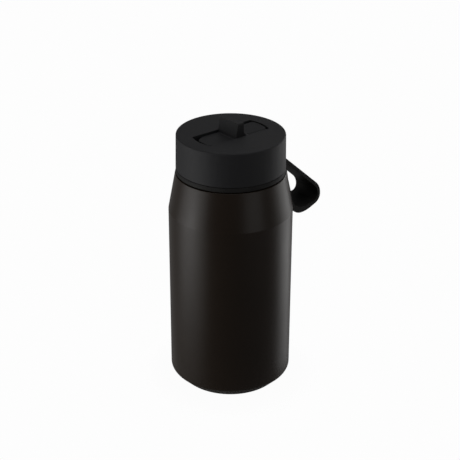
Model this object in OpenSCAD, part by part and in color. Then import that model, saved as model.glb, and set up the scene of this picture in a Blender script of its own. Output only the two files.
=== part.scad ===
// Double-walled vacuum flask with a screw lid, a flip-up drinking spout and a soft finger loop.
// Millimetres. The flask stands on z = 0 and its axis is Z. The finger loop and the lid's
// channel both point along +X.

/* [Body] */
// Outer radius of the straight wall
body_r = 38.2; // [36.5:0.1:44]
// Height at which the straight wall ends and the shoulder starts
wall_h = 117.2; // [95:0.1:160]
// Height of the conical shoulder
shoulder_h = 23.9; // [18:0.1:32]
// Height and width of the bevel round the base
base_bevel = 6.8; // [4:0.1:8]
// Rounding of the two edges of the base bevel
bevel_round = 2.6; // [1:0.1:3.5]
// Wall of the coated outer shell
shell_t = 0.8; // [0.6:0.05:1.2]
// Wall of the inner vessel
liner_t = 0.6; // [0.4:0.05:1]
// Evacuated gap between the two walls
vacuum_gap = 4; // [2.5:0.1:5]
// Rounding between the inner vessel's wall and its floor
liner_floor_r = 7; // [4:0.1:12]
// Height from the neck's lip to the lid's top
lip_drop = 7.6; // [7:0.1:10]

/* [Base] */
// Width of the rolled rim on which the base plate stands
rim_w = 2.8; // [2:0.1:4]
// Height of the rim's lower face above the ground
rim_lift = 0.35; // [0.1:0.05:0.8]
// Height of the base plate above the ground
plate_z = 4.6; // [3.6:0.1:5.2]
// Radius of the brazed pellet that closes the evacuation hole
seal_r = 3.2; // [2:0.1:5]
// Radius of the getter pellet
getter_r = 4; // [2.5:0.1:6]
// Thickness of the getter pellet
getter_t = 1.8; // [1:0.1:2.4]
// Distance of the getter from the axis
getter_x = 14; // [8:0.1:20]
// Thickness of the foot pad
pad_t = 1.2; // [0.8:0.1:2]
// Width of the steel ring left bare round the foot pad
pad_inset = 0.8; // [0.4:0.1:6]

/* [Finger loop] */
// Height of the silicone ring under the lid
ring_h = 3; // [2:0.1:4]
// Height of the groove between the body's ledge and the ring
ring_lift = 0.6; // [0.3:0.1:1]
// Height of the fine line between the ring and the lid
ring_line = 0.2; // [0.1:0.05:0.5]
// Free gap between the loop and the body
ring_gap = 0.3; // [0.2:0.05:0.5]
// Width of the loop's band
loop_w = 21; // [14:0.5:26]
// Thickness of the loop's band
loop_t = 2.3; // [1.8:0.1:3]
// Thickness of the leg that lies along the shoulder
loop_leg_t = 2.6; // [1.8:0.1:3.2]
// Thickness of the loop's lower run
loop_floor_t = 3.9; // [3:0.1:4.8]
// Distance from the straight wall to the loop's outermost point
loop_out = 27.1; // [25:0.1:34]
// Slope of the loop's upper run below the horizontal
loop_drop = 41.9; // [36:0.1:46]
// Slope of the loop's lower run where it leaves the outer bend
loop_rise = 22; // [17:0.1:26]
// Radius of the outer bend on its upper side
bend_upper_r = 11.5; // [9:0.1:13]
// Radius of the outer bend on its lower side
bend_lower_r = 6.5; // [5.4:0.1:7.6]
// Distance from the straight wall to the loop's lowest point
heel_x = 11.5; // [10:0.1:13]
// Radius of the heel, where the loop turns up along the wall
heel_r = 9.6; // [8:0.1:10.4]
// Radius of the curve that leads from the lower run into the heel
sweep_r = 20; // [16:0.1:24]

/* [Lid] */
// How much narrower the lid is than the straight wall, at its lower edge
lid_inset = 4.8; // [3:0.1:5.2]
// How much narrower the lid is at its top
lid_draft = 0.35; // [0:0.05:1]
// Height of the lid
lid_h = 21.1; // [20.5:0.1:26]
// Rounding of the lid's top edge
lid_round = 0.8; // [0.3:0.1:2]
// Thickness of the lid's top
lid_top_t = 2.4; // [1.6:0.1:2.6]
// Wall of the lid's skirt
lid_wall = 1.4; // [1:0.1:1.8]
// Wall of the inner cap's threaded skirt
cap_wall = 1.2; // [0.8:0.1:1.6]
// Radial room for the thread between the neck and the inner cap
thread_room = 1; // [0.6:0.1:1.4]
// Thickness of the inner cap's flange
cap_flange_t = 1.6; // [1:0.1:2]
// Wall of the inner cap's plug
plug_wall = 1.3; // [0.8:0.1:1.5]
// Free gap between the plug and the neck
plug_gap = 0.4; // [0.2:0.05:0.6]
// Thickness of the sealing ring on the neck's lip
gasket_t = 1.6; // [1:0.1:2]
// Thickness of the cover under the plug
cover_t = 1.4; // [1:0.1:2]
// Bore of the air vent
vent_r = 1; // [0.6:0.1:1.4]
// Distance from the axis to the air vent
vent_x = 10; // [6:0.1:16]

/* [Channel] */
// Distance from the channel's curved ends to the lid's edge
channel_inset = 9.4; // [9:0.1:10.5]
// Width of the channel
channel_w = 17.8; // [17.2:0.1:18.4]
// Wall of the pocket under the channel
pocket_t = 1.6; // [1.2:0.1:1.8]

/* [Spout] */
// Width of the spout's arm, and the diameter of its rounded hinge end
spout_w = 16.4; // [15:0.1:16.8]
// Gap between the channel's end and the spout's hinge end
hinge_end_gap = 2; // [1.4:0.1:3]
// Gap between the channel's end and the mouthpiece's tip
tip_gap = 0.9; // [0.8:0.1:2.5]
// Rounding of the mouthpiece's corners, seen from above
mouth_corner_r = 6; // [4:0.1:7]
// Radius of the hinge barrel
barrel_r = 8.6; // [7.6:0.1:8.8]
// Depth of the hinge axis below the lid's top
pivot_drop = 5.6; // [5:0.1:6]
// Depth of the spout's hinge end below the lid's top
lobe_drop = 1.4; // [0.4:0.1:1.8]
// Depth of the mouthpiece below the lid's top
mouth_drop = 0.4; // [0.1:0.1:0.9]
// Thickness of the spout below its hinge axis
spout_under = 5.2; // [4.6:0.1:5.4]
// Height of the thumb fin above the lid's top
fin_h = 8.5; // [4:0.1:10]
// How far the thumb fin reaches past the arm on each side
fin_over = 0.4; // [0.1:0.1:0.5]
// Thickness of the thumb fin at its top
fin_t = 4.3; // [3:0.1:5]
// Place of the fin's left face at its top
fin_x = -1.4; // [-3:0.1:1]
// Slant of the fin's left face, in degrees
fin_slant = 8; // [0:0.5:12]
// Radius of the hollow at the fin's foot towards the mouthpiece
fin_hollow_r = 4.2; // [2:0.1:5]
// Radius of the small hollow at the fin's foot on its other side
fin_foot_r = 2; // [1:0.1:2.5]
// Radius of the fin's top corners
fin_corner_r = 0.8; // [0.4:0.1:2]
// Radius of the drinking passage
passage_r = 2.3; // [1.5:0.1:2.6]
// Wall of the nipple that carries the mouthpiece
nipple_wall = 1.9; // [1:0.1:2.2]
// Length of the nipple
nipple_l = 8; // [5:0.1:9]
// Rounding of the mouthpiece's long edges
mouth_round = 2.2; // [1:0.1:3]
// Radius of the hinge pins
pin_r = 1.5; // [1:0.1:1.8]
// Radial running clearance of the hinge pins
pin_play = 0.05; // [0.02:0.01:0.1]
// Radius of the silicone seat under the barrel
seat_r = 5; // [4:0.1:5.4]
// Thickness of the seat at the passage
seat_t = 1.7; // [1.2:0.1:2.2]

/* [Hidden] */

$fn = 96;
fine_fn = 144;     // facets of the large turned pieces
eps = 0.01;        // overlap of shapes that are joined
cut = 1;           // how far a cut runs past the face it opens
far = 60;          // longer than the part of the flask that a through cut crosses
soft_gap = 0.3;    // free gap beside silicone
edge_step = 0.4;   // small steps: the ledge outside the lid, the play under the skirt
side_play = 0.2;   // play of a disc inside its wall
shield_t = 0.15;

// Stack of heights along the axis
shoulder_z = wall_h;
ledge_z = wall_h + shoulder_h;
ring_z0 = ledge_z + ring_lift;
ring_z1 = ring_z0 + ring_h;
lid_z0 = ring_z1 + ring_line;
lid_z1 = lid_z0 + lid_h;
lip_z = lid_z1 - lip_drop;

// Radii at the neck, worked inwards from the lid
lid_r = body_r - lid_inset;
ledge_r = lid_r + edge_step;
cap_r = lid_r - lid_wall;
cap_in_r = cap_r - cap_wall;
neck_r = cap_in_r - thread_room;
neck_in_r = neck_r - shell_t - liner_t;
plug_r = neck_in_r - plug_gap;
plug_in_r = plug_r - plug_wall;

// Base
rim_r = body_r - base_bevel;
opening_r = rim_r - rim_w;
rim_top_z = rim_lift + shell_t;
bevel_reach = bevel_round * tan(22.5);
plate_t = shell_t;
plate_r = opening_r + shell_t + side_play;
cover_r = opening_r - side_play;
base_cover_t = liner_t;
pad_r = cover_r - pad_inset;
seal_hole_r = seal_r * 0.4;

// Inner vessel
liner_lift = 1.4;
liner_drop = 4;
neck_run = 3;
liner_r = body_r - shell_t - vacuum_gap;
liner_z0 = plate_z + plate_t + getter_t + liner_lift;
liner_top_z = wall_h - liner_drop;
liner_neck_z = ledge_z - neck_run;
shield_z0 = liner_z0 + liner_floor_r;
shield_z1 = liner_top_z - 2;

// Channel, pocket and hinge
channel_r = lid_r - channel_inset;
hinge_reach = channel_r - hinge_end_gap;
mouth_reach = channel_r - tip_gap;
pivot_x = barrel_r - hinge_reach;
pivot_z = lid_z1 - pivot_drop;
deep_gap = 0.4;
deep_z = pivot_z - barrel_r - deep_gap;
deep_x1 = pivot_x + barrel_r + 0.6;
shallow_z = pivot_z - spout_under - 0.5;
pocket_y = channel_w / 2 + pocket_t;
foam_floor_t = 0.8;
plug_floor_z = deep_z - pocket_t - foam_floor_t;
plug_z0 = plug_floor_z - cover_t;
cap_flange_z = lip_z + gasket_t;
seat_z0 = pivot_z - barrel_r - soft_gap - seat_t + seat_t / 2;

// Spout
end_r = spout_w / 2;
lobe_z = lid_z1 - lobe_drop;
mouth_z = lid_z1 - mouth_drop;
under_z = pivot_z - spout_under;
fin_z = lid_z1 + fin_h;
fin_right_x = fin_x + fin_t;
fin_w = spout_w + 2 * fin_over;
fin_foot_x = fin_x - (fin_z - lobe_z) * tan(fin_slant);
mouth_x0 = fin_right_x + fin_hollow_r + edge_step;
nipple_r = passage_r + nipple_wall;
pin_y0 = passage_r + 1.6;
pin_y1 = pocket_y;

// Vent
vent_boss_r = vent_r + 1.6;
valve_stem_r = vent_r + 0.6;
valve_head_r = vent_r + 2.4;
valve_head_t = 0.8;

// Points on an arc from angle a0 to a1 about c
function arc(c, r, a0, a1, n = 8) =
    [for (i = [0:n]) let (a = a0 + (a1 - a0) * i / n) c + r * [cos(a), sin(a)]];

// Outside of the body: bevelled base, straight wall and conical shoulder, grown by g
module body_outline(g = 0) {
    r = body_r + g;
    polygon(concat(
        [[0, rim_lift - g]],
        arc([rim_r - bevel_reach, rim_lift + bevel_round], bevel_round + g, -90, -45, 5),
        arc([body_r - bevel_round, rim_lift + base_bevel + bevel_reach], bevel_round + g, -45, 0, 5),
        [[r, shoulder_z], [ledge_r + g, ledge_z + g], [0, ledge_z + g]]));
}

// Coated wall, with the rolled rim below and the neck above
module outer_shell() color("#1d1b1a")
    rotate_extrude($fn = fine_fn) difference() {
        union() {
            body_outline();
            translate([0, ledge_z - cut]) square([neck_r, lip_z - liner_t - ledge_z + cut]);
        }
        difference() {
            body_outline(-shell_t);
            square([body_r, rim_top_z]);
        }
        square([opening_r, rim_top_z + cut]);
        translate([0, ledge_z - neck_run]) square([neck_r - shell_t, lip_z]);
    }

// Outline of the inner vessel, shrunk by s
module liner_outline(s = 0) {
    neck = neck_in_r + liner_t - s;
    polygon(concat(
        [[0, liner_z0 + s]],
        arc([liner_r - liner_floor_r, liner_z0 + liner_floor_r], liner_floor_r - s, -90, 0, 6),
        [[liner_r - s, liner_top_z], [neck, liner_neck_z], [neck, lip_z], [0, lip_z]]));
}

// Inner vessel, with the lip that is welded over the outer neck
module inner_vessel() color("silver")
    rotate_extrude($fn = fine_fn) difference() {
        union() {
            liner_outline();
            translate([0, lip_z - liner_t]) square([neck_r, liner_t]);
        }
        liner_outline(liner_t);
        translate([0, lip_z - cut]) square([neck_in_r, 2 * cut]);
    }

// Copper foil round the straight part of the inner vessel
module heat_shield() color("#b87333")
    translate([0, 0, shield_z0]) difference() {
        cylinder(r = liner_r + shield_t, h = shield_z1 - shield_z0);
        translate([0, 0, -cut]) cylinder(r = liner_r, h = far * 2);
    }

// Welded cup that closes the vacuum from below, with the evacuation hole
module base_plate() color("gainsboro")
    difference() {
        translate([0, 0, rim_top_z]) cylinder(r = plate_r, h = plate_z + plate_t - rim_top_z);
        cylinder(r = plate_r - plate_t, h = plate_z);
        cylinder(r = seal_hole_r, h = plate_z + plate_t + cut);
    }

// Glass bead that closes the evacuation hole
module vacuum_seal() color("slategray") {
    translate([0, 0, plate_z - plate_t]) cylinder(r = seal_r, h = plate_t);
    translate([0, 0, plate_z - eps]) cylinder(r = seal_hole_r, h = plate_t + eps);
}

// Pellet that takes up stray gas in the vacuum
module getter() color("dimgray")
    translate([getter_x, 0, plate_z + plate_t]) cylinder(r = getter_r, h = getter_t);

// Shallow steel cup that covers the base plate
module base_cover() color("silver")
    rotate_extrude() {
        translate([0, pad_t]) square([cover_r, base_cover_t]);
        translate([cover_r - base_cover_t, pad_t]) square([base_cover_t, plate_z - pad_t]);
    }

// Silicone disc on which the flask stands
module foot_pad() color("#161616") cylinder(r = pad_r, h = pad_t);

// Finger loop: centres of its bends, worked out so that each run is tangent to the next
loop_reach = body_r + loop_out;
loop_top_n = [sin(loop_drop), cos(loop_drop)];
loop_top_d = loop_top_n * [ledge_r, lid_z0];
bend_upper_x = loop_reach - bend_upper_r;
bend_z = (loop_top_d - bend_upper_r - loop_top_n.x * bend_upper_x) / loop_top_n.y;
bend_upper_c = [bend_upper_x, bend_z];
bend_lower_c = [loop_reach - bend_lower_r, bend_z];
loop_low_n = [sin(loop_rise), -cos(loop_rise)];
loop_low_d = loop_low_n * bend_lower_c + bend_lower_r;
sweep_x = body_r + heel_x;
sweep_z = (loop_low_d - sweep_r - loop_low_n.x * sweep_x) / loop_low_n.y;
heel_z = sweep_z - sweep_r + heel_r;
heel_turn = 55;
heel_end = [sweep_x, heel_z] + heel_r * [cos(270 - heel_turn), sin(270 - heel_turn)];
heel_run = (heel_end.x - body_r - ring_gap) / sin(90 - heel_turn);
leg_z0 = heel_end.y + heel_run * cos(90 - heel_turn);
leg_r = body_r + ring_gap + loop_leg_t;
leg_ring_r = ledge_r + ring_gap + loop_leg_t;
leg_blend = 12;
inner_floor_z = heel_z - heel_r + loop_floor_t;
inner_x = sweep_x + 1;
inner_heel_r = inner_x - leg_r;
inner_heel_z = inner_floor_z + inner_heel_r;
inner_sweep_r = sweep_r + 4;

// Outer outline of the loop, seen from the side
module loop_outline()
    polygon(concat(
        [[neck_r, ring_z1], [ledge_r + (lid_z0 - ring_z1) / tan(loop_drop), ring_z1]],
        arc(bend_upper_c, bend_upper_r, 90 - loop_drop, 0, 8),
        arc(bend_lower_c, bend_lower_r, -8, loop_rise - 90, 7),
        arc([sweep_x, sweep_z], sweep_r, loop_rise - 90, -90, 4),
        arc([sweep_x, heel_z], heel_r, -98, -90 - heel_turn, 6),
        [[body_r + ring_gap, leg_z0], [neck_r, leg_z0]]));

// Outline of the finger hole; its left side runs up into the leg
module loop_hole()
    polygon(concat(
        [[neck_r, lid_z0 - loop_t / cos(loop_drop) + (ledge_r - neck_r) * tan(loop_drop)]],
        arc(bend_upper_c, bend_upper_r - loop_t, 90 - loop_drop, 0, 8),
        arc(bend_lower_c, bend_lower_r - loop_t, -12, loop_rise - 90, 6),
        arc([inner_x, inner_floor_z + inner_sweep_r], inner_sweep_r, loop_rise * 0.8 - 90, -90, 4),
        arc([inner_x, inner_heel_z], inner_heel_r, -98, -180, 8),
        [[body_r - ring_gap, inner_heel_z + leg_blend]]));

// Space that the body takes up inside the loop, grown by g
module body_keepout(g) {
    rotate_extrude($fn = fine_fn) polygon([[0, far], [body_r + g, far], [body_r + g, shoulder_z],
        [ledge_r + g, ring_z0], [0, ring_z0]]);
    cylinder(r = neck_r + ring_gap, h = lid_z1);
}

// Stands a side outline up, across the loop's width
module loop_band(extra = 0)
    translate([0, loop_w / 2 + extra, 0]) rotate([90, 0, 0])
        linear_extrude(loop_w + 2 * extra) children();

// Ring under the lid, with the finger loop and the leg that lies along the shoulder
module carry_loop() color("#0c0c0c")
    difference() {
        union() {
            difference() {
                loop_band() loop_outline();
                loop_band(cut) loop_hole();
            }
            intersection() {
                loop_band() loop_outline();
                rotate_extrude($fn = fine_fn) polygon([[0, leg_z0 - cut], [leg_r, leg_z0 - cut],
                    [leg_r, shoulder_z], [leg_ring_r, ring_z0 + eps], [0, ring_z0 + eps]]);
            }
            translate([0, 0, ring_z0]) cylinder(r = lid_r, h = ring_h, $fn = fine_fn);
        }
        body_keepout(ring_gap);
    }

// Pocket that hangs under the lid's top round the channel: deep at the hinge, shallow beyond
module pocket(g) {
    r = channel_r + g;
    y = channel_w / 2 + g;
    intersection() {
        translate([0, 0, deep_z - g]) cylinder(r = r, h = lid_z1 - deep_z + g);
        union() {
            translate([-r - cut, -y, deep_z - g])
                cube([deep_x1 + r + cut + g, 2 * y, lid_z1 - deep_z + g]);
            translate([-r - cut, -y, shallow_z - g])
                cube([2 * (r + cut), 2 * y, lid_z1 - shallow_z + g]);
        }
    }
}

// Outer lid: drafted skirt, flat top, and the pocket with the seat's recess and the bores
module lid_shell() color("#2c2c30")
    difference() {
        union() {
            rotate_extrude($fn = fine_fn) difference() {
                polygon(concat([[0, lid_z0], [lid_r, lid_z0]],
                    arc([lid_r - lid_draft - lid_round, lid_z1 - lid_round], lid_round, 0, 90, 6),
                    [[0, lid_z1]]));
                translate([0, lid_z0 - cut]) square([cap_r, lid_h - lid_top_t + cut]);
            }
            intersection() {
                pocket(pocket_t);
                cylinder(r = cap_r, h = lid_z1 - lid_top_t / 2);
            }
            translate([vent_x, 0, plug_floor_z])
                cylinder(r = vent_boss_r, h = shallow_z - plug_floor_z);
        }
        translate([0, 0, eps]) pocket(0);
        translate([pivot_x, 0, seat_z0]) cylinder(r = seat_r, h = lid_h);
        translate([pivot_x, 0, plug_z0]) cylinder(r = passage_r, h = lid_h);
        translate([vent_x, 0, plug_z0]) cylinder(r = vent_r, h = lid_h);
        across_hinge() cylinder(r = pin_r, h = 2 * (pin_y1 + cut), center = true);
    }

// Threaded inner wall, flange and plug, in one turned piece
module inner_cap() color("#232326")
    rotate_extrude($fn = fine_fn) {
        translate([cap_in_r, lid_z0 + edge_step])
            square([cap_wall, cap_flange_z + cap_flange_t - lid_z0 - edge_step]);
        translate([plug_in_r, cap_flange_z]) square([cap_in_r - plug_in_r + eps, cap_flange_t]);
        translate([plug_in_r, plug_floor_z]) square([plug_wall, cap_flange_z - plug_floor_z + eps]);
    }

// Silicone ring between the neck's lip and the inner cap's flange
module lid_gasket() color("#3a3a3a")
    translate([0, 0, lip_z]) difference() {
        cylinder(r = neck_r + edge_step, h = gasket_t);
        translate([0, 0, -cut]) cylinder(r = plug_r + side_play, h = gasket_t + 2 * cut);
    }

// Foam that fills the plug round the pocket
module lid_foam() color("ivory")
    difference() {
        translate([0, 0, plug_floor_z])
            cylinder(r = plug_in_r - side_play, h = cap_flange_z - plug_floor_z);
        pocket(pocket_t + side_play);
        translate([vent_x, 0, plug_z0]) cylinder(r = vent_boss_r + side_play, h = lid_h);
        translate([pivot_x, 0, plug_z0]) cylinder(r = seat_r + cut, h = lid_h);
    }

// Disc that closes the plug, with the drinking hole and the vent
module plug_cover() color("#232326")
    difference() {
        union() {
            translate([0, 0, plug_z0]) cylinder(r = plug_r, h = cover_t);
            translate([pivot_x, 0, plug_z0])
                cylinder(r = seat_r + edge_step, h = deep_z - pocket_t - plug_z0);
        }
        translate([pivot_x, 0, plug_z0 - cut]) cylinder(r = passage_r, h = lid_h);
        translate([vent_x, 0, plug_z0 - cut]) cylinder(r = valve_stem_r, h = cover_t + 2 * cut);
    }

// Silicone valve that lets air in through the plug's cover
module vent_valve() color("gainsboro")
    translate([vent_x, 0, plug_z0 - valve_head_t]) difference() {
        union() {
            cylinder(r = valve_head_r, h = valve_head_t);
            cylinder(r = valve_stem_r, h = cover_t + valve_head_t);
        }
        translate([0, 0, -cut]) cylinder(r = vent_r * 0.6, h = far);
    }

// Hinge axis: stands a cylinder's axis along Y, through the pivot
module across_hinge() translate([pivot_x, 0, pivot_z]) rotate([90, 0, 0]) children();

// Silicone seat with a hollow top that follows the barrel
module spout_seat() color("#3a3a3a")
    difference() {
        translate([pivot_x, 0, seat_z0]) cylinder(r = seat_r, h = seat_t + barrel_r * 0.2);
        translate([pivot_x, 0, plug_z0]) cylinder(r = passage_r, h = lid_h);
        across_hinge() cylinder(r = barrel_r + soft_gap, h = far, center = true);
    }

// Two short steel pins, held in the pocket's side walls
module hinge_pins() color("lightgray")
    for (s = [-1, 1]) translate([0, s * (pin_y0 + pin_y1) / 2, 0])
        across_hinge() cylinder(r = pin_r, h = pin_y1 - pin_y0, center = true);

// Plan of the arm: a bar with a half-round hinge end
module arm_plan() {
    translate([end_r - hinge_reach, 0]) circle(r = end_r);
    translate([end_r - hinge_reach, -end_r]) square([hinge_reach - end_r + mouth_x0, spout_w]);
}

// Plan of the mouthpiece: rounded corners, and a tip that follows the channel's curved end
module mouth_plan() {
    corner_x = mouth_reach - mouth_corner_r + soft_gap;
    corner_y = end_r - mouth_corner_r;
    intersection() {
        circle(r = mouth_reach, $fn = fine_fn);
        union() {
            for (s = [-1, 1]) translate([corner_x, s * corner_y]) circle(r = mouth_corner_r);
            translate([corner_x, -corner_y]) square([mouth_corner_r, 2 * corner_y]);
            translate([mouth_x0, -end_r]) square([corner_x - mouth_x0, spout_w]);
        }
    }
}

// Side of the spout's rigid arm: hinge barrel, flat lobe and thumb fin with hollow feet
module arm_side() {
    toe_x = fin_right_x + fin_hollow_r;
    difference() {
        union() {
            intersection() {
                translate([pivot_x, pivot_z]) circle(r = barrel_r);
                translate([pivot_x - barrel_r, lobe_z - 2 * barrel_r])
                    square([2 * barrel_r, 2 * barrel_r]);
            }
            translate([pivot_x, under_z]) square([mouth_x0 - pivot_x, lobe_z - under_z]);
            polygon([[fin_foot_x - fin_foot_r, under_z + cut], [fin_foot_x - fin_foot_r, lobe_z],
                [fin_foot_x, lobe_z + fin_foot_r], [fin_x, fin_z], [fin_right_x, fin_z],
                [fin_right_x, mouth_z + fin_hollow_r], [toe_x, mouth_z], [mouth_x0, mouth_z],
                [mouth_x0, under_z + cut]]);
        }
        translate([toe_x, mouth_z + fin_hollow_r]) circle(r = fin_hollow_r);
        translate([fin_foot_x - fin_foot_r, lobe_z + fin_foot_r]) circle(r = fin_foot_r);
    }
}

// Rounded rectangle, seen along the spout
module rounded_bar(w, z0, z1, r) {
    h = z1 - z0;
    translate([0, z0]) {
        translate([r - w / 2, 0]) square([w - 2 * r, h]);
        translate([-w / 2, r]) square([w, h - 2 * r]);
        for (s = [-1, 1], z = [r, h - r]) translate([s * (w / 2 - r), z]) circle(r = r);
    }
}

// Stands a shape seen along the spout up, from x onwards
module along_spout(x, l) translate([x, 0, 0]) rotate([90, 0, 90]) linear_extrude(l) children();

// Bore or rod along the drinking passage
module passage(r, x, l) translate([x, 0, pivot_z]) rotate([0, 90, 0]) cylinder(r = r, h = l);

// The arm's side outline, w wide, with the fin's corners rounded
module arm_body(w)
    intersection() {
        translate([0, w, 0]) rotate([90, 0, 0]) linear_extrude(2 * w) arm_side();
        along_spout(-hinge_reach - cut, far)
            rounded_bar(w, deep_z - fin_corner_r, fin_z, fin_corner_r);
    }

// Rigid arm with the barrel, the thumb fin and the nipple for the mouthpiece
module spout_arm() color("#26262a")
    difference() {
        union() {
            intersection() {
                arm_body(spout_w);
                translate([0, 0, deep_z]) linear_extrude(fin_z - deep_z + cut) arm_plan();
            }
            intersection() {
                arm_body(fin_w);
                translate([fin_foot_x, -fin_w, lobe_z - cut])
                    cube([mouth_x0 - fin_foot_x, 2 * fin_w, fin_z - lobe_z + 2 * cut]);
            }
            passage(nipple_r, mouth_x0 - cut, nipple_l + cut);
        }
        passage(passage_r, -hinge_reach - cut, far);
        for (s = [-1, 1]) translate([0, s * (pin_y0 - soft_gap + end_r), 0])
            across_hinge() cylinder(r = pin_r + pin_play, h = spout_w, center = true);
    }

// Soft end that is drunk from, sleeved over the nipple
module mouthpiece() color("#1e1e22")
    difference() {
        intersection() {
            along_spout(mouth_x0, mouth_reach) rounded_bar(spout_w, under_z, mouth_z, mouth_round);
            translate([0, 0, deep_z]) linear_extrude(fin_z - deep_z) mouth_plan();
        }
        passage(nipple_r, mouth_x0 - cut, nipple_l + cut);
        passage(passage_r, mouth_x0, far);
    }

outer_shell();
inner_vessel();
heat_shield();
base_plate();
vacuum_seal();
getter();
base_cover();
foot_pad();
carry_loop();
lid_shell();
inner_cap();
lid_gasket();
lid_foam();
plug_cover();
vent_valve();
spout_seat();
hinge_pins();
spout_arm();
mouthpiece();
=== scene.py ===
"""Looks of the vacuum flask: coated steel body, moulded lid with its flip spout, and finger loop."""

import logging
import math
from dataclasses import dataclass
from enum import Enum
from functools import cache
from typing import Any, Iterable, Sequence

import bmesh
import bpy
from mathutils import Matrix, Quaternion, Vector


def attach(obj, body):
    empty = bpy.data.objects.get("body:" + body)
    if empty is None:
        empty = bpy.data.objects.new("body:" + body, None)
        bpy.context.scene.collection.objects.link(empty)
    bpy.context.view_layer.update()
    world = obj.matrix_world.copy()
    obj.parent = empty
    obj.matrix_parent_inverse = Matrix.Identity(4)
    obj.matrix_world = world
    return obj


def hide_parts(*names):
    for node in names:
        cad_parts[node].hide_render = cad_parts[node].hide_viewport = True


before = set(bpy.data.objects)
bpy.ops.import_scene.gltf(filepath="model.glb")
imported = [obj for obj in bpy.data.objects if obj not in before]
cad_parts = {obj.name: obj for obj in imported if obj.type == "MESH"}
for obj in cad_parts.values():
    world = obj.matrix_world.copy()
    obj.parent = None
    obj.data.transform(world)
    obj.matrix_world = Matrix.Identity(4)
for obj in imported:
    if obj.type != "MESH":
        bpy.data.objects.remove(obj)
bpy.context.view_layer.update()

log = logging.getLogger("flask")

Row = Sequence[bmesh.types.BMVert]
Point = tuple[float, float]
Corner = tuple[float, float, float]
Colour = tuple[float, float, float]

# One millimetre in the frame's metres
MM = 0.001
# Distance in millimetres within which two points are one
WELD = 0.001
# Angle in degrees within which two faces are one flat face
FLAT = 0.4
# Share of a side that the rounding at either of its ends may take
ROOM = 0.49
# Angle in degrees above which an edge of a thin turned wall stays crisp
WALL_CREASE = 28.0
WHITE: Colour = (1.0, 1.0, 1.0)


# ---------------------------------------------------------------- shader graph


class Signal:
    """One output socket, on which Python arithmetic adds Math nodes."""

    def __init__(self, graph: "Graph", socket: bpy.types.NodeSocket) -> None:
        """Keeps the socket and its graph.

        Args:
            graph: the graph that owns the socket.
            socket: the output socket.
        """
        self.graph = graph
        self.socket = socket

    def _math(self, operation: str, first: Any, second: Any) -> "Signal":
        """Adds one Math node.

        Args:
            operation: Blender's name of the operation.
            first: first value or signal.
            second: second value or signal.

        Returns:
            The node's output.
        """
        return self.graph.node("Math", {"operation": operation}, {0: first, 1: second})

    def __add__(self, other: Any) -> "Signal":
        """Returns self + other."""
        return self._math("ADD", self, other)

    def __radd__(self, other: Any) -> "Signal":
        """Returns other + self."""
        return self._math("ADD", other, self)

    def __sub__(self, other: Any) -> "Signal":
        """Returns self - other."""
        return self._math("SUBTRACT", self, other)

    def __rsub__(self, other: Any) -> "Signal":
        """Returns other - self."""
        return self._math("SUBTRACT", other, self)

    def __mul__(self, other: Any) -> "Signal":
        """Returns self * other."""
        return self._math("MULTIPLY", self, other)

    def __rmul__(self, other: Any) -> "Signal":
        """Returns other * self."""
        return self._math("MULTIPLY", other, self)

    def swing(self, width: float) -> "Signal":
        """Turns a signal about 0.5 into one about 0, times a width."""
        return (self - 0.5) * width

    def ramp(self, low: float, high: float) -> "Signal":
        """Maps a range smoothly to 0..1.

        Args:
            low: value that gives 0.
            high: value that gives 1.

        Returns:
            The mapped signal.
        """
        return self.graph.node("MapRange", {"interpolation_type": "SMOOTHSTEP"},
                               {"Value": self, "From Min": low, "From Max": high})


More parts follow.
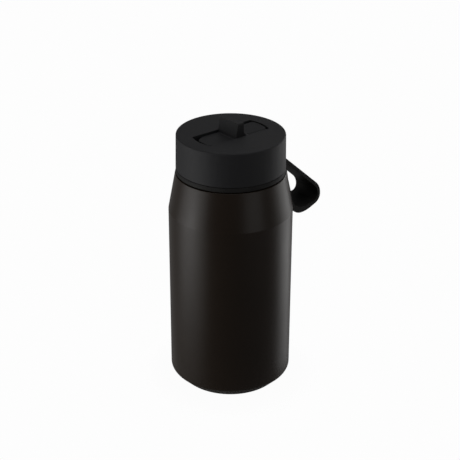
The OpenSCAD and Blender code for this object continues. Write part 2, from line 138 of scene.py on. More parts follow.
class Graph:
    """The node tree of one material or world."""

    def __init__(self, owner: bpy.types.ID) -> None:
        """Opens the tree.

        Args:
            owner: the material or world that holds the tree.
        """
        self.owner = owner
        owner.use_nodes = True
        self.tree = owner.node_tree
        self.held = {n.type: n for n in self.tree.nodes}

    @classmethod
    def for_material(cls, name: str) -> "Graph":
        """Returns the graph of a new material."""
        return cls(bpy.data.materials.new(name))

    def node(self, kind: str, settings: dict[str, Any] | None = None,
             inputs: dict[Any, Any] | None = None, out: int | str = 0) -> Signal:
        """Adds any node.

        Args:
            kind: the node's type without its ShaderNode prefix.
            settings: the node's own properties, which are set first.
            inputs: values or signals by socket name or number.
            out: name or number of the output to return.

        Returns:
            The chosen output.
        """
        made = self.tree.nodes.new("ShaderNode" + kind)
        for key, value in (settings or {}).items():
            setattr(made, key, value)
        for key, value in (inputs or {}).items():
            self.feed(made.inputs[key], value)
        return Signal(self, made.outputs[out])

    def feed(self, socket: bpy.types.NodeSocket, value: Any) -> None:
        """Links a signal to a socket, or sets its value.

        Args:
            socket: the input socket.
            value: a signal, a number, a vector or a colour.
        """
        if isinstance(value, Signal):
            self.tree.links.new(value.socket, socket)
        elif socket.type == "RGBA":
            socket.default_value = (*value, 1.0)
        else:
            socket.default_value = value

    def place(self, scale: Sequence[float] = (1.0, 1.0, 1.0)) -> Signal:
        """Reads the point on the object.

        Args:
            scale: factor on each axis.

        Returns:
            The point in millimetres, times the factors.
        """
        at = self.node("TexCoord", out="Object")
        factors = tuple(s / MM for s in scale)
        return self.node("VectorMath", {"operation": "MULTIPLY"}, {0: at, 1: factors})

    def from_axis(self) -> Signal:
        """Returns the distance from the object's Z axis in millimetres."""
        across = self.place((1.0, 1.0, 0.0))
        return self.node("VectorMath", {"operation": "LENGTH"}, {0: across}, out="Value")

    def noise(self, size: float, detail: float, at: Signal | None = None,
              rough: float = 0.5) -> Signal:
        """Adds a noise.

        Args:
            size: size of its cells in millimetres.
            detail: how many finer layers it has.
            at: point to read it at, or None for the object's own.
            rough: strength of the finer layers.

        Returns:
            The noise, about 0.5 on average.
        """
        return self.node("TexNoise", inputs={
            "Vector": at or self.place(), "Scale": 1 / size, "Detail": detail, "Roughness": rough})

    def cells(self, size: float) -> Signal:
        """Returns the distance to the nearest of many scattered points, size in millimetres apart."""
        return self.node(
            "TexVoronoi", inputs={"Vector": self.place(), "Scale": 1 / size}, out="Distance")

    def blend(self, factor: Any, first: Any, second: Any) -> Signal:
        """Mixes two colours, on the Mix node's sockets for them.

        Args:
            factor: share of the second colour.
            first: colour or signal.
            second: colour or signal.

        Returns:
            The mixed colour.
        """
        return self.node("Mix", {"data_type": "RGBA", "clamp_factor": True},
                         {0: factor, 6: first, 7: second}, out=2)

    def bump(self, height: Signal, depth: float) -> Signal:
        """Adds a bump.

        Args:
            height: height signal, about 0..1.
            depth: height of a full step in millimetres.

        Returns:
            The bumped normal.
        """
        return self.node("Bump", inputs={"Height": height, "Strength": 1.0, "Distance": depth * MM})

    def shown(self) -> Signal:
        """Returns 1 for the camera and transmission rays, which show the background."""
        camera = self.node("LightPath", out="Is Camera Ray")
        return camera + self.node("LightPath", out="Is Transmission Ray")

    def surface(self, **sockets: Any) -> bpy.types.Material:
        """Sets the Principled shader's sockets.

        Args:
            sockets: values or signals, by socket name with _ for a space.

        Returns:
            The finished material.
        """
        for key, value in sockets.items():
            self.feed(self.held["BSDF_PRINCIPLED"].inputs[key.replace("_", " ")], value)
        return self.owner


# ---------------------------------------------------------------- finishes


@dataclass(frozen=True)
class Finish:
    """A finish that makes its material once.

    Attributes:
        name: the material's name.
        colour: base colour, linear.
        roughness: mean roughness.
    """

    name: str
    colour: Colour
    roughness: float

    def build(self) -> bpy.types.Material:
        """Makes the material; each finish has its own."""
        raise NotImplementedError

    @cache
    def material(self) -> bpy.types.Material:
        """Returns the material, made on its first use."""
        return self.build()

    def tone(self, factor: float) -> Colour:
        """Returns the base colour times a factor."""
        return tuple(c * factor for c in self.colour)


@dataclass(frozen=True)
class PowderCoat(Finish):
    """Baked powder on steel: a pebbled skin with a finer tooth and a trace of handling.

    Attributes:
        peel: size of the pebbles in millimetres.
        tooth: size of the finer tooth in millimetres.
        handled: size of the handled patches in millimetres.
        speck: distance between the pale specks in millimetres.
        depth: height of the pebbles in millimetres.
        gloss: specular level.
    """

    peel: float = 0.75
    tooth: float = 0.21
    handled: float = 26.0
    speck: float = 0.9
    depth: float = 0.022
    gloss: float = 0.2

    def build(self) -> bpy.types.Material:
        """Makes the coat."""
        g = Graph.for_material(self.name)
        pebbles = g.noise(self.peel, 1.5)
        tooth = g.noise(self.tooth, 2.0)
        handling = g.noise(self.handled, 3.0)
        specks = g.cells(self.speck).ramp(0.10, 0.02)
        tint = g.blend(handling, self.colour, self.tone(1.22))
        return g.surface(
            Base_Color=g.blend(specks * 0.35, tint, self.tone(2.4)),
            Roughness=self.roughness + handling.swing(0.10) + tooth.swing(0.12),
            Specular_IOR_Level=self.gloss,
            Normal=g.bump(pebbles * 0.7 + tooth * 0.3, self.depth))


@dataclass(frozen=True)
class MouldedPlastic(Finish):
    """Injection-moulded plastic with a spark-eroded grain.

    Attributes:
        grain: size of the grain in millimetres.
        flow: size of the moulding's flow marks in millimetres.
        depth: depth of the grain in millimetres.
        gloss: specular level.
    """

    grain: float = 0.32
    flow: float = 18.0
    depth: float = 0.014
    gloss: float = 0.2

    def build(self) -> bpy.types.Material:
        """Makes the plastic."""
        g = Graph.for_material(self.name)
        grain = g.noise(self.grain, 2.5, rough=0.6)
        pits = g.cells(self.grain * 1.7).ramp(0.0, 0.45)
        flow = g.noise(self.flow, 2.0)
        return g.surface(
            Base_Color=g.blend(flow, self.colour, self.tone(1.14)),
            Roughness=self.roughness + flow.swing(0.08) + grain.swing(0.14),
            Specular_IOR_Level=self.gloss,
            Normal=g.bump(grain * 0.6 + pits * 0.4, self.depth))


@dataclass(frozen=True)
class Silicone(Finish):
    """Moulded silicone: satin skin, a faint bloom and a few specks of lint.

    Attributes:
        bloom: strength of the pale bloom.
        cloud: size of the bloom's clouds in millimetres.
        skin: size of the skin's grain in millimetres.
        lint: distance between the specks of lint in millimetres.
        depth: depth of the skin's grain in millimetres.
        gloss: specular level.
    """

    bloom: float = 0.25
    cloud: float = 9.0
    skin: float = 0.45
    lint: float = 1.9
    depth: float = 0.02
    gloss: float = 0.15

    def build(self) -> bpy.types.Material:
        """Makes the silicone."""
        g = Graph.for_material(self.name)
        cloud = g.noise(self.cloud, 4.0)
        skin = g.noise(self.skin, 3.0)
        lint = g.cells(self.lint).ramp(0.05, 0.01)
        dusty = tuple(c + 0.004 for c in self.tone(1.9))
        return g.surface(
            Base_Color=g.blend(cloud.ramp(0.35, 0.8) * self.bloom + lint * 0.5, self.colour, dusty),
            Roughness=self.roughness + cloud.swing(0.16),
            Specular_IOR_Level=self.gloss,
            Normal=g.bump(skin * 0.7 + cloud * 0.3, self.depth))


class Lay(Enum):
    """Direction in which a metal is brushed."""

    ROUND = "round"
    FACE = "face"


@dataclass(frozen=True)
class BrushedSteel(Finish):
    """Stainless steel with fine turning or brushing lines.

    Attributes:
        lay: ROUND for lines round a wall, FACE for rings on a disc.
        line: spacing of the lines in millimetres.
        run: length of a line on a wall in millimetres.
        cloud: size of the dull patches in millimetres.
        depth: depth of the lines in millimetres.
    """

    lay: Lay = Lay.ROUND
    line: float = 0.22
    run: float = 50.0
    cloud: float = 14.0
    depth: float = 0.006

    def build(self) -> bpy.types.Material:
        """Makes the steel."""
        g = Graph.for_material(self.name)
        if self.lay is Lay.ROUND:
            at = g.place((1 / self.run, 1 / self.run, 1 / self.line))
        else:
            at = g.node("CombineXYZ", inputs={0: g.from_axis() * (1 / self.line)})
        lines = g.noise(1.0, 3.0, at)
        cloud = g.noise(self.cloud, 2.0)
        return g.surface(
            Base_Color=g.blend(lines, self.tone(0.82), self.colour), Metallic=1.0,
            Roughness=self.roughness + lines.swing(0.22) + cloud.swing(0.08),
            Normal=g.bump(lines, self.depth))


@dataclass(frozen=True)
class Grained(Finish):
    """Foil, glass bead, foam or pressed metal: pieces that stay inside the flask.

    Attributes:
        grain: size of the grain in millimetres.
        depth: depth of the grain in millimetres.
        metallic: share of metal.
    """

    grain: float = 1.0
    depth: float = 0.05
    metallic: float = 0.0

    def build(self) -> bpy.types.Material:
        """Makes the finish."""
        g = Graph.for_material(self.name)
        cells = g.cells(self.grain)
        cloud = g.noise(self.grain * 5, 3.0)
        return g.surface(
            Base_Color=g.blend(cloud, self.tone(0.8), self.colour), Metallic=self.metallic,
            Roughness=self.roughness + cloud.swing(0.2), Normal=g.bump(cells, self.depth))


@dataclass(frozen=True)
class FadingPaper(Finish):
    """Floor of pale paper, which shows white, keeps a soft shadow and fades out.

    Attributes:
        glow: brightness in which the camera sees paper and background.
        share: share of that glow in what the camera sees of the paper.
        fade: distances from the axis between which it fades out, in millimetres.
    """

    glow: float = 0.983
    share: float = 0.985
    fade: Point = (41.0, 60.0)

    def build(self) -> bpy.types.Material:
        """Makes the paper."""
        g = Graph.for_material(self.name)
        paper = g.surface(Base_Color=self.colour, Roughness=self.roughness, Specular_IOR_Level=0.0)
        lit = Signal(g, g.held["BSDF_PRINCIPLED"].outputs[0])
        glow = g.node("Emission", inputs={"Color": WHITE, "Strength": self.glow})
        seen = g.node("MixShader", inputs={0: g.shown() * self.share, 1: lit, 2: glow})
        clear = g.node("BsdfTransparent")
        faded = g.node("MixShader", inputs={0: g.from_axis().ramp(*self.fade), 1: seen, 2: clear})
        g.feed(g.held["OUTPUT_MATERIAL"].inputs["Surface"], faded)
        return paper


BODY_COAT = PowderCoat("black_powder", (0.0112, 0.0064, 0.0032), 0.34)
LID_PLASTIC = MouldedPlastic("grained_lid", (0.0135, 0.0134, 0.0146), 0.62)
SPOUT_PLASTIC = MouldedPlastic("grained_spout", (0.0120, 0.0120, 0.0130), 0.56, grain=0.26)
INNER_PLASTIC = MouldedPlastic("grained_plug", (0.014, 0.014, 0.0152), 0.42)
LOOP_SILICONE = Silicone("black_silicone", (0.0180, 0.0176, 0.0170), 0.55, gloss=0.06)
MOUTH_SILICONE = Silicone("dark_silicone", (0.0085, 0.0085, 0.0095), 0.5)
SEAL_SILICONE = Silicone("clear_silicone", (0.34, 0.34, 0.33), 0.45, bloom=0.4)
PAD_SILICONE = Silicone("pad_rubber", (0.012, 0.012, 0.012), 0.6)
BARE_STEEL = BrushedSteel("turned_steel", (0.62, 0.62, 0.61), 0.3)
BASE_STEEL = BrushedSteel("ringed_steel", (0.6, 0.6, 0.59), 0.27, lay=Lay.FACE)
PIN_STEEL = BrushedSteel("drawn_steel", (0.6, 0.6, 0.6), 0.25, line=0.1)
COPPER_FOIL = Grained("foil_copper", (0.78, 0.38, 0.22), 0.3, grain=3.0, metallic=1.0)
BRAZE_GLASS = Grained("bead_glass", (0.05, 0.06, 0.08), 0.15, grain=0.8)
GETTER_METAL = Grained("pressed_metal", (0.12, 0.12, 0.12), 0.6, grain=0.3, metallic=0.8)
BEAD_FOAM = Grained("white_foam", (0.8, 0.8, 0.76), 0.7, grain=2.6, depth=0.3)
FLOOR_PAPER = FadingPaper("floor_paper", (0.86, 0.86, 0.86), 0.9)


# ---------------------------------------------------------------- shapes


def linked(name: str, data: bpy.types.ID) -> bpy.types.Object:
    """Makes an object in the scene.

    Args:
        name: the object's name.
        data: its mesh, light or camera.

    Returns:
        The object.
    """
    made = bpy.data.objects.new(name, data)
    bpy.context.scene.collection.objects.link(made)
    return made


def polar(radius: float, angle: float) -> Point:
    """Returns the point at a radius and an angle in radians."""
    return radius * math.cos(angle), radius * math.sin(angle)


def rounded(corners: Sequence[Corner], steps: int = 5) -> list[Point]:
    """Rounds the corners of an outline.

    Args:
        corners: (x, y, radius) of each corner; the first and the last have no radius.
        steps: facets of each rounding.

    Returns:
        The outline's points.
    """
    out: list[Point] = []
    for i, (x, y, wanted) in enumerate(corners):
        if not wanted:
            out.append((x, y))
            continue
        here = Vector((x, y))
        before, after = (Vector(corners[k][:2]) - here for k in (i - 1, i + 1))
        u, v = before.normalized(), after.normalized()
        half = before.angle(after) / 2
        reach = min(wanted / math.tan(half), before.length * ROOM, after.length * ROOM)
        radius = reach * math.tan(half)
        centre = here + (u + v).normalized() * (radius / math.sin(half))
        start, end = here + u * reach - centre, here + v * reach - centre
        first, turn = math.atan2(start.y, start.x), start.angle_signed(end)
        for k in range(steps + 1):
            out.append(tuple(centre + Vector(polar(radius, first - turn * k / steps))))
    return out


class Along(Enum):
    """Axis along which an outline is extruded."""

    Y = "y"
    Z = "z"


class Blank:
    """A mesh in the making, in millimetres."""

    def __init__(self) -> None:
        """Starts empty."""
        self.bm = bmesh.new()

    def ring(self, points: Iterable[Sequence[float]]) -> Row:
        """Adds a row of points and returns its vertices."""
        return [self.bm.verts.new(Vector(p) * MM) for p in points]

    def bridge(self, first: Row, second: Row) -> None:
        """Joins two closed rows.

        Args:
            first: one row of vertices.
            second: the other row, as long, or either row a single vertex.
        """
        count = max(len(first), len(second))
        for i in range(count):
            j = (i + 1) % count
            corners = ((first, i), (first, j), (second, j), (second, i))
            # A row of one vertex gives it twice, and the quad becomes a triangle
            self.bm.faces.new(list(dict.fromkeys(row[k % len(row)] for row, k in corners)))

    def loft(self, rows: Sequence[Row]) -> None:
        """Joins closed rows one after the other and closes both ends.

        Args:
            rows: the rows, each as long as the first.
        """
        for first, second in zip(rows, rows[1:]):
            self.bridge(first, second)
        self.bm.faces.new(rows[0])
        self.bm.faces.new(list(reversed(rows[-1])))

    def turned(self, profile: Sequence[Point], segments: int = 160, closed: bool = True) -> None:
        """Turns a profile about Z.

        Args:
            profile: (radius, height) points; those on the axis become one point.
            segments: facets round the axis.
            closed: whether the profile closes on itself.
        """
        angles = [2 * math.pi * k / segments for k in range(segments)]
        rows = []
        for r, z in profile:
            rows.append(self.ring((*polar(r, a), z) for a in (angles if r else angles[:1])))
        if closed:
            rows.append(rows[0])
        for first, second in zip(rows, rows[1:]):
            self.bridge(first, second)

    def extruded(self, outline: Sequence[Point], ends: Point, along: Along) -> None:
        """Extrudes an outline.

        Args:
            outline: (x, z) points for an extrusion along Y, (x, y) points for one along Z.
            ends: where it starts and ends on that axis.
            along: the axis.
        """
        self.loft([
            self.ring((a, end, b) if along is Along.Y else (a, b, end) for a, b in outline)
            for end in ends])

    def object(self, name: str) -> bpy.types.Object:
        """Ends the mesh.

        Args:
            name: the object's name.

        Returns:
            The object, linked to the scene.
        """
        bmesh.ops.recalc_face_normals(self.bm, faces=self.bm.faces)
        mesh = bpy.data.meshes.new(name)
        self.bm.to_mesh(mesh)
        self.bm.free()
        return linked(name, mesh)


@dataclass(frozen=True)
class Thread:
    """A thread's ridge, which fades in and out at its ends. Lengths in millimetres.

    Attributes:
        radius: radius of the wall that it stands on.
        start: height at which it starts.
        crest: height of the ridge above the wall.
        foot: width of the ridge's foot.
        inward: whether it points to the axis.
        pitch: rise of one turn.
        turns: number of turns.
        root: how deep it stands in the wall.
        facets: facets of one turn.
        fade: each end fades over one part in this many of its length.
        least: share of the crest that is left at the very ends.
        shoulder: (share of the crest, share of the foot) at the ridge's shoulder.
        flat: share of the foot at the ridge's flat top.
    """

    radius: float
    start: float
    crest: float
    foot: float
    inward: bool = False
    pitch: float = 4.4
    turns: float = 1.3
    root: float = 0.3
    facets: int = 96
    fade: float = 12.0
    least: float = 0.02
    shoulder: Point = (0.75, 0.24)
    flat: float = 0.12

    def object(self, name: str) -> bpy.types.Object:
        """Winds the ridge.

        Args:
            name: the object's name.

        Returns:
            The object, linked to the scene.
        """
        blank = Blank()
        rows = []
        sign = -1 if self.inward else 1
        count = int(self.facets * self.turns)
        for i in range(count + 1):
            t = i / count
            crest = self.crest * max(self.least, min(1.0, t * self.fade, (1 - t) * self.fade))
            rise, reach = self.shoulder
            half = [(-self.root, 0.5), (crest * rise, reach), (crest, self.flat)]
            section = [(d, -w) for d, w in half] + [(d, w) for d, w in reversed(half)]
            turn = self.turns * t
            rows.append(blank.ring(
                (*polar(self.radius + sign * d, 2 * math.pi * turn),
                 self.start + self.pitch * turn + self.foot * w) for d, w in section))
        blank.loft(rows)
        return blank.object(name)


def applied(piece: bpy.types.Object) -> None:
    """Bakes a piece's modifiers into its mesh.

    Args:
        piece: the piece.
    """
    shape = piece.evaluated_get(bpy.context.evaluated_depsgraph_get())
    mesh = bpy.data.meshes.new_from_object(shape)
    piece.modifiers.clear()
    piece.data = mesh


def welded(mesh: bpy.types.Mesh) -> None:
    """Merges vertices that lie together.

    Args:
        mesh: the mesh.
    """
    bm = bmesh.new()
    bm.from_mesh(mesh)
    bmesh.ops.remove_doubles(bm, verts=bm.verts, dist=WELD * MM)
    bm.to_mesh(mesh)
    bm.free()


def carve(piece: bpy.types.Object, tool: bpy.types.Object) -> None:
    """Cuts one piece with another, which is used up.

    Args:
        piece: the piece that stays.
        tool: the piece that is taken out of it.
    """
    mod = piece.modifiers.new("cut", "BOOLEAN")
    mod.operation, mod.object, mod.solver = "DIFFERENCE", tool, "EXACT"
    applied(piece)
    bpy.data.objects.remove(tool)
    welded(piece.data)


def soften(piece: bpy.types.Object, width: float, angle: float = 40.0, steps: int = 3,
           clamp: bool = True) -> None:
    """Rounds the sharp edges of a piece.

    Args:
        piece: the piece.
        width: width of the rounding in millimetres.
        angle: smallest angle that is rounded, in degrees.
        steps: facets of the rounding.
        clamp: whether roundings that would meet are made smaller.
    """
    mod = piece.modifiers.new("edges", "BEVEL")
    mod.width, mod.segments, mod.limit_method = width * MM, steps, "ANGLE"
    mod.angle_limit, mod.miter_outer = math.radians(angle), "MITER_ARC"
    mod.use_clamp_overlap = clamp
    applied(piece)
    welded(piece.data)


def copy_of(node: str, name: str) -> bpy.types.Object:
    """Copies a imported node's mesh, with its flat faces made whole.

    Args:
        node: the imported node.
        name: name of the copy.

    Returns:
        The copy, linked to the scene.
    """
    bm = bmesh.new()
    bm.from_mesh(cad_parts[node].data)
    bmesh.ops.remove_doubles(bm, verts=bm.verts, dist=WELD * MM)
    bmesh.ops.dissolve_limit(bm, angle_limit=math.radians(FLAT), verts=bm.verts, edges=bm.edges)
    mesh = bpy.data.meshes.new(name)
    bm.to_mesh(mesh)
    bm.free()
    return linked(name, mesh)


def fit_out(piece: bpy.types.Object, finish: Finish, body: str,
            nodes: Sequence[str] = (), crease: float = 32.0) -> None:
    """Dresses a piece and joins it to its body.

    Args:
        piece: the piece.
        finish: its finish.
        body: the body that it rides on.
        nodes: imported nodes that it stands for.
        crease: angle above which an edge stays crisp, in degrees.
    """
    piece.data.materials.clear()
    piece.data.materials.append(finish.material())
    piece.data.shade_smooth()
    piece.data.set_sharp_from_angle(angle=math.radians(crease))
    even = piece.modifiers.new("even", "WEIGHTED_NORMAL")
    even.keep_sharp = True
    applied(piece)
    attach(piece, body)
    if nodes:
        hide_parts(*nodes)
    log.info("%s: %d faces, on %s", piece.name, len(piece.data.polygons), body)


def dress(node: str, finish: Finish) -> None:
    """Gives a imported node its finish."""
    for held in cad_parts[node].material_slots:
        held.material = finish.material()
    log.info("%s: packed node, %s", node, finish.name)


# ---------------------------------------------------------------- sub-assemblies


@dataclass
class CoatedBody:
    """Coated outer wall with its neck and thread. Sizes in millimetres.

    Attributes:
        radius: radius of the straight wall.
        wall_top: height at which the cone of the shoulder starts.
        ledge: height of the ledge below the loop's ring.
        ledge_radius: radius of the cone at the ledge.
        rim_radius: radius of the rim at the foot.
        rim_width: width of the rim.
        rim_lift: height of the rim above the ground.
        bevel: height of the bevel above the rim.
        bevel_round: radius of the bevel's two edges.
        corner_round: radius of the edge between wall and cone.
        ledge_round: radius of the ledge's edge.
        neck_round: radius in the corner between ledge and neck.
        wall: thickness.
        neck_radius: radius of the neck.
        lip: height of the neck's top.
        thread_lift: height of the thread's start above the ledge.
        thread_crest: height of the thread above the neck.
        thread_foot: width of the thread.
        segments: facets round the body.
    """

    radius: float = 38.2
    wall_top: float = 117.2
    ledge: float = 141.1
    ledge_radius: float = 33.8
    rim_radius: float = 31.4
    rim_width: float = 2.8
    rim_lift: float = 0.35
    bevel: float = 6.8
    bevel_round: float = 2.6
    corner_round: float = 1.6
    ledge_round: float = 0.35
    neck_round: float = 0.5
    wall: float = 0.8
    neck_radius: float = 29.8
    lip: float = 157.8
    thread_lift: float = 5.6
    thread_crest: float = 0.62
    thread_foot: float = 2.3
    segments: int = 224

    def build(self) -> None:
        """Makes the wall and the neck's thread."""
        rim_inner = self.rim_radius - self.rim_width
        bevel_top = self.rim_lift + self.bevel
        outside = rounded([
            (rim_inner, self.rim_lift, 0),
            (self.rim_radius, self.rim_lift, self.bevel_round),
            (self.radius, bevel_top, self.bevel_round),
            (self.radius, self.wall_top, self.corner_round),
            (self.ledge_radius, self.ledge, self.ledge_round),
            (self.neck_radius, self.ledge, self.neck_round),
            (self.neck_radius, self.lip, 0),
        ], steps=8)
        inside = [
            (self.neck_radius - self.wall, self.lip),
            (self.neck_radius - self.wall, self.ledge - self.wall),
            (self.ledge_radius - self.wall, self.ledge - self.wall),
            (self.radius - self.wall, self.wall_top),
            (self.radius - self.wall, bevel_top),
            (self.rim_radius - self.wall, self.rim_lift + self.wall),
            (rim_inner, self.rim_lift + self.wall),
        ]
        wall = Blank()
        wall.turned(outside + inside, self.segments)
        fit_out(wall.object("body_wall"), BODY_COAT, "flask", ["outer_shell"],
                WALL_CREASE)
        thread = Thread(
            self.neck_radius, self.ledge + self.thread_lift, self.thread_crest, self.thread_foot)
        fit_out(thread.object("neck_thread"), BODY_COAT, "flask")


@dataclass
class InnerVessel:
    """Bare steel vessel with the welded lip. Sizes in millimetres.

    Attributes:
        radius: outer radius of the straight wall.
        wall: thickness.
        floor: height of the floor's underside.
        floor_round: outer radius of the floor's edge.
        cone_bottom: height at which the wall starts to draw in.
        cone_top: height at which it reaches the neck.
        cone_round: radius of the cone's two bends.
        neck_radius: inner radius of the neck.
        lip_radius: outer radius of the lip.
        lip: height of the lip's top.
        mouth_round: radius of the mouth's inner edge.
        lip_round: radius of the lip's outer edge.
        weld_drop: depth of the weld bead's middle below the lip's top.
        weld_inset: how far that middle lies inside the lip's radius.
        weld_round: radius of the bead.
        weld_root: how deep the bead goes into the lip.
        segments: facets round the vessel.
    """

    radius: float = 33.4
    wall: float = 0.6
    floor: float = 8.6
    floor_round: float = 7.0
    cone_bottom: float = 113.2
    cone_top: float = 138.1
    cone_round: float = 3.0
    neck_radius: float = 28.4
    lip_radius: float = 29.8
    lip: float = 158.4
    mouth_round: float = 0.5
    lip_round: float = 0.25
    weld_drop: float = 0.62
    weld_inset: float = 0.02
    weld_round: float = 0.2
    weld_root: float = 0.3
    segments: int = 192

    def build(self) -> None:
        """Makes the vessel and its weld."""
        inner, outer = self.radius - self.wall, self.neck_radius + self.wall
        profile = rounded([
            (0, self.floor + self.wall, 0),
            (inner, self.floor + self.wall, self.floor_round - self.wall),
            (inner, self.cone_bottom, self.cone_round),
            (self.neck_radius, self.cone_top, self.cone_round),
            (self.neck_radius, self.lip, self.mouth_round),
            (self.lip_radius, self.lip, self.lip_round),
            (self.lip_radius, self.lip - self.wall, 0),
            (outer, self.lip - self.wall, 0),
            (outer, self.cone_top, self.cone_round),
            (self.radius, self.cone_bottom, self.cone_round),
            (self.radius, self.floor, self.floor_round),
            (0, self.floor, 0),
        ], steps=8)
        vessel = Blank()
        vessel.turned(profile, self.segments, closed=False)
        fit_out(vessel.object("steel_vessel"), BARE_STEEL, "flask", ["inner_vessel"],
                WALL_CREASE)
        bead = Blank()
        bead.turned(self.weld(), self.segments)
        fit_out(bead.object("lip_weld"), BARE_STEEL, "flask")

    def weld(self) -> list[Point]:
        """Returns the weld bead's section: a half circle outside, square inside the lip."""
        x, z = self.lip_radius - self.weld_inset, self.lip - self.weld_drop
        root = self.lip_radius - self.weld_root
        arc = [polar(self.weld_round, math.radians(angle)) for angle in range(-90, 91, 30)]
        return [*((x + a, z + b) for a, b in arc),
                (root, z + self.weld_round), (root, z - self.weld_round)]


@dataclass
class Base:
    """Closed foot: steel cover with turned rings, and the silicone pad. Sizes in millimetres.

    Attributes:
        pad_radius: radius of the pad.
        pad_height: thickness of the pad.
        pad_round: radius of the pad's lower edge.
        grooves: radii of the rings sunk in the pad.
        groove_mouth: half the width of a ring at the pad's face.
        groove_floor: half the width of a ring at its floor.
        groove_depth: depth of a ring.
        groove_round: radius of a ring's edges.
        cover_radius: radius of the cover.
        cover_wall: thickness of the cover.
        cover_top: height of the top of the cover's skirt.
        cover_round: radius of the cover's lower edge.
        skirt_round: radius of the edges at the skirt's top and at the pad's top.
        bend_round: radius of the cover's inner bend.
    """

    pad_radius: float = 27.6
    pad_height: float = 1.2
    pad_round: float = 0.5
    grooves: tuple[float, ...] = (8.0, 15.0, 22.0)
    groove_mouth: float = 1.3
    groove_floor: float = 0.8
    groove_depth: float = 0.45
    groove_round: float = 0.2
    cover_radius: float = 28.4
    cover_wall: float = 0.6
    cover_top: float = 4.6
    cover_round: float = 0.5
    skirt_round: float = 0.1
    bend_round: float = 0.3

    def build(self) -> None:
        """Makes the cover and the pad, and dresses the pieces above them."""
        self.cover()
        self.pad()
        for node, finish in (("base_plate", BARE_STEEL), ("vacuum_seal", BRAZE_GLASS),
                             ("getter", GETTER_METAL), ("heat_shield", COPPER_FOIL)):
            dress(node, finish)

    def cover(self) -> None:
        """Makes the steel cover."""
        skirt, inner = self.cover_radius - self.cover_wall, self.pad_height + self.cover_wall
        cover = Blank()
        cover.turned(rounded([
            (0, self.pad_height, 0),
            (self.cover_radius, self.pad_height, self.cover_round),
            (self.cover_radius, self.cover_top, self.skirt_round),
            (skirt, self.cover_top, self.skirt_round),
            (skirt, inner, self.bend_round),
            (0, inner, 0),
        ]), closed=False)
        fit_out(cover.object("steel_cover"), BASE_STEEL, "flask", ["base_cover"])

    def pad(self) -> None:
        """Makes the silicone pad with its sunk rings."""
        corners: list[Corner] = [(0, 0, 0)]
        for r in self.grooves:
            for across, depth in ((-self.groove_mouth, 0), (-self.groove_floor, self.groove_depth),
                                  (self.groove_floor, self.groove_depth), (self.groove_mouth, 0)):
                corners.append((r + across, depth, self.groove_round))
        corners += [(self.pad_radius, 0, self.pad_round),
                    (self.pad_radius, self.pad_height, self.skirt_round), (0, self.pad_height, 0)]
        pad = Blank()
        pad.turned(rounded(corners, steps=3), closed=False)
        fit_out(pad.object("silicone_pad"), PAD_SILICONE, "flask", ["foot_pad"])


@dataclass
class FingerLoop:
    """Silicone ring and finger loop in one moulding. Sizes in millimetres.

    Attributes:
        edge: width of the rounded edges.
        corner: smallest angle that is rounded, in degrees.
        line: (radius, height) of two corners of the step in the ring's top edge.
    """

    edge: float = 0.2
    corner: float = 50.0
    line: tuple[Point, Point] = ((32.9, 144.35), (34.7, 145.4))

    def build(self) -> None:
        """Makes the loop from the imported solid, with soft edges."""
        loop = copy_of("carry_loop", "finger_loop")
        soften(loop, self.edge, self.corner, clamp=False)
        (near, low), (far, high) = self.line
        step = Blank()
        step.turned([(near, low), (far, low), (far, high), (near, high)])
        carve(loop, step.object("line"))
        fit_out(loop, LOOP_SILICONE, "loop", ["carry_loop"])


@dataclass
class Lid:
    """Outer lid, threaded inner cap, seals and foam. Sizes in millimetres.

    Attributes:
        edge: width of the outer lid's rounded edges.
        inner_edge: width of the rounded edges inside the lid.
        inner_steps: facets of those edges.
        cap_radius: inner radius of the cap's skirt.
        thread_start: height at which the cap's thread starts.
        thread_crest: height of the thread.
        thread_foot: width of the thread.
    """

    edge: float = 0.22
    inner_edge: float = 0.2
    inner_steps: int = 2
    cap_radius: float = 30.8
    thread_start: float = 147.6
    thread_crest: float = 0.55
    thread_foot: float = 1.9

    def build(self) -> None:
        """Makes the lid's pieces."""
        shell = copy_of("lid_shell", "lid_outer")
        soften(shell, self.edge)
        fit_out(shell, LID_PLASTIC, "lid", ["lid_shell"])
        self.inner("inner_cap", "lid_inner", INNER_PLASTIC, "inner_plastic")
        thread = Thread(
            self.cap_radius, self.thread_start, self.thread_crest, self.thread_foot, inward=True)
        fit_out(thread.object("cap_thread"), INNER_PLASTIC, "lid")
        self.inner("lid_gasket", "neck_seal", SEAL_SILICONE, "seal_silicone")
        self.inner("plug_cover", "plug_disc", INNER_PLASTIC, "inner_plastic")
        self.inner("vent_valve", "vent_flap", SEAL_SILICONE, "seal_silicone")
        self.inner("spout_seat", "barrel_seat", SEAL_SILICONE, "seal_silicone")
        dress("lid_foam", BEAD_FOAM)
        dress("hinge_pins", PIN_STEEL)

    def inner(self, node: str, name: str, finish: Finish, slot: str) -> None:
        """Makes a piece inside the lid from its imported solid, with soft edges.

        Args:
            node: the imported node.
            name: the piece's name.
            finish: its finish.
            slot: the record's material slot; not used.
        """
        piece = copy_of(node, name)
        soften(piece, self.inner_edge, steps=self.inner_steps)
        fit_out(piece, finish, "lid", [node])


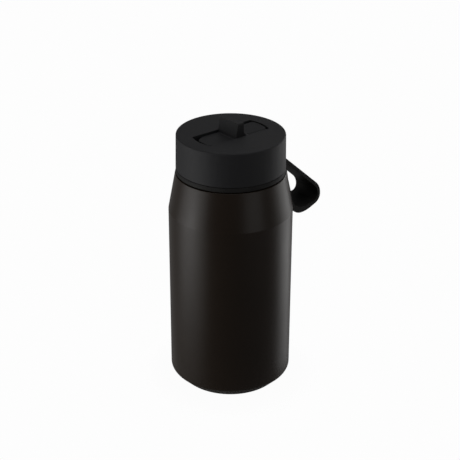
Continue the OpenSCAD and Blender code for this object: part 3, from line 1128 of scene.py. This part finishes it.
@dataclass
class FlipSpout:
    """Flip spout: rigid arm with the thumb fin, and its soft end. Sizes in millimetres.

    Attributes:
        edge: width of the rounded edges.
        fin_foot: (x, z) where the fin's face meets the arm's top.
        foot_cut: (x, z, radius) from that point, outline of the cut that tightens the hollow there.
        across: where that cut starts and ends on Y.
        hinge_side: (x, y) of the corner of the soft end next to the fin.
        hinge_corner: radius of that corner.
        corner_steps: facets of that corner.
        margin: how far the corner's cut stands outside the soft end.
        upright: where the corner's cut starts and ends on Z.
    """

    edge: float = 0.22
    fin_foot: Point = (-2.79, 164.6)
    foot_cut: tuple[Corner, ...] = (
        (-2.1, 0, 0), (-1.6, 0, 0), (-0.1, 0, 0.7), (0, 2.0, 0), (-0.3, 2.6, 0), (-2.1, 1.0, 0))
    across: Point = (-10.0, 10.0)
    hinge_side: Point = (7.5, 8.2)
    hinge_corner: float = 3.0
    corner_steps: int = 8
    margin: float = 0.5
    upright: Point = (150.0, 170.0)

    def build(self) -> None:
        """Makes the arm and the soft end."""
        self.arm()
        self.soft_end()

    def arm(self) -> None:
        """Makes the arm, with a tight hollow at the left foot of its fin."""
        arm = copy_of("spout_arm", "flip_arm")
        x, z = self.fin_foot
        foot = Blank()
        foot.extruded([(x + a, z + b) for a, b in rounded(self.foot_cut)], self.across, Along.Y)
        carve(arm, foot.object("fin_foot"))
        soften(arm, self.edge)
        fit_out(arm, SPOUT_PLASTIC, "spout", ["spout_arm"])

    def soft_end(self) -> None:
        """Makes the soft end, with its two corners next to the fin rounded."""
        end = copy_of("mouthpiece", "soft_end")
        x, y = self.hinge_side
        r, out, steps = self.hinge_corner, self.margin, self.corner_steps
        quarter = [polar(r, math.pi * (1 - k / steps / 2)) for k in range(steps + 1)]
        outline = [(x - out, y + out), (x - out, y - r),
                   *((x + r + a, y - r + b) for a, b in quarter), (x + r, y + out)]
        for side in (-1, 1):
            corner = Blank()
            corner.extruded([(a, side * b) for a, b in outline], self.upright, Along.Z)
            carve(end, corner.object("corner"))
        soften(end, self.edge)
        fit_out(end, MOUTH_SILICONE, "spout", ["mouthpiece"])


# ---------------------------------------------------------------- studio


def ray_to(turn: float, rise: float) -> Vector:
    """Returns the direction at a turn from Y towards X and a rise from the ground, in degrees."""
    a, e = math.radians(turn), math.radians(rise)
    return Vector((math.sin(a) * math.cos(e), math.cos(a) * math.cos(e), math.sin(e)))


@dataclass(frozen=True)
class Softbox:
    """One area lamp, turned towards the flask's axis. Lengths in metres, angles in degrees.

    Attributes:
        name: the lamp's name.
        turn: azimuth from the camera, to the right.
        rise: angle above the horizontal.
        level: height of the point on the axis that it faces.
        wide: width.
        tall: height.
        power: watts.
        away: distance from that point.
    """

    name: str
    turn: float
    rise: float
    level: float
    wide: float
    tall: float
    power: float
    away: float = 0.5

    def build(self, facing: float) -> None:
        """Makes the lamp.

        Args:
            facing: the camera's heading, in degrees.
        """
        data = bpy.data.lights.new(self.name, "AREA")
        data.shape, data.energy = "RECTANGLE", self.power
        data.size, data.size_y = self.wide, self.tall
        lamp = linked(self.name, data)
        ray = ray_to(facing + 180 - self.turn, self.rise)
        lamp.location = Vector((0, 0, self.level)) + ray * self.away
        lamp.rotation_mode = "QUATERNION"
        lamp.rotation_quaternion = ray.to_track_quat("Z", "Y")
        log.info("lamp %s", self.name)


@dataclass
class Studio:
    """Camera, floor, world and lamps. Lengths in metres, angles in degrees.

    Attributes:
        heading: direction in which the camera looks, from Y towards X.
        pitch: angle by which it looks down.
        roll: angle by which it is turned about its own axis.
        back: distance from the flask's axis.
        height: height above the ground.
        aside: shift to the right.
        above: shift upwards in the picture.
        lens: focal length in millimetres.
        sensor: width of the sensor in millimetres.
        near: distance from which it sees.
        drop: how far the floor lies below the foot pad, in millimetres.
        mirrored: brightness of the world in reflections.
        lamps: the lamps.
    """

    heading: float = 39.0
    pitch: float = 26.3966
    roll: float = 0.181
    back: float = 0.6978
    height: float = 0.4474
    aside: float = -0.00035
    above: float = 0.00007
    lens: float = 98.29
    sensor: float = 36.0
    near: float = 0.01
    drop: float = 0.1
    mirrored: float = 0.22
    lamps: tuple[Softbox, ...] = (
        Softbox("left_box", -70, 0, 0.05, 0.45, 0.5, 1.22),
        Softbox("left_core", -72, 0, -0.025, 0.18, 0.15, 0.40),
        Softbox("left_edge", -97, 0, 0.0, 0.16, 0.4, 0.15),
        Softbox("right_box", 120, 0, -0.05, 0.3, 0.3, 0.42),
        Softbox("right_low", 120, 0, -0.32, 0.35, 0.25, 0.16),
        Softbox("right_high", 140, 0, 0.22, 0.2, 0.35, 0.60),
        Softbox("right_side", 98, 0, 0.1, 0.16, 0.5, 0.14),
        Softbox("front_box", 42, 0, 0.2, 0.3, 0.4, 0.33),
        Softbox("top_box", 0, 80, 0.6, 0.7, 0.7, 1.68, away=0.12),
    )

    def build(self) -> None:
        """Makes the whole studio."""
        self.camera()
        self.floor()
        self.world()
        for lamp in self.lamps:
            lamp.build(self.heading)
        bpy.context.scene.view_settings.view_transform = "Standard"

    def camera(self) -> None:
        """Places the camera as in the photograph."""
        data = bpy.data.cameras.new("camera")
        data.lens, data.sensor_width, data.clip_start = self.lens, self.sensor, self.near
        cam = linked("camera", data)
        ray = ray_to(self.heading, -self.pitch)
        right = ray_to(self.heading + 90, 0)
        stand = ray_to(self.heading, 0) * -self.back + Vector((0, 0, self.height))
        cam.location = stand + right * self.aside + right.cross(ray) * self.above
        cam.rotation_mode = "QUATERNION"
        rolled = Quaternion((0, 0, 1), math.radians(self.roll))
        cam.rotation_quaternion = ray.to_track_quat("-Z", "Y") @ rolled
        bpy.context.scene.camera = cam

    def floor(self) -> None:
        """Makes the floor, a disc of pale paper as wide as its fading."""
        blank = Blank()
        blank.turned([(0, -self.drop), (FLOOR_PAPER.fade[1], -self.drop)], closed=False)
        floor = blank.object("floor")
        floor.data.materials.append(FLOOR_PAPER.material())

    def world(self) -> None:
        """Shows white behind the flask, and a dimmer white to glossy rays."""
        bpy.context.scene.world = bpy.data.worlds.new("studio")
        g = Graph(bpy.context.scene.world)
        glossy = g.node("LightPath", out="Is Glossy Ray")
        back = g.held["BACKGROUND"]
        g.feed(back.inputs["Color"], WHITE)
        g.feed(back.inputs["Strength"], g.shown() * FLOOR_PAPER.glow + glossy * self.mirrored)


def main() -> None:
    """Builds the flask and its studio."""
    logging.basicConfig(level=logging.INFO, format="%(name)s: %(message)s", force=True)
    for assembly in (CoatedBody(), InnerVessel(), Base(), FingerLoop(), Lid(), FlipSpout(), Studio()):
        log.info("-- %s", type(assembly).__name__)
        assembly.build()


if __name__ == "__main__":
    main()
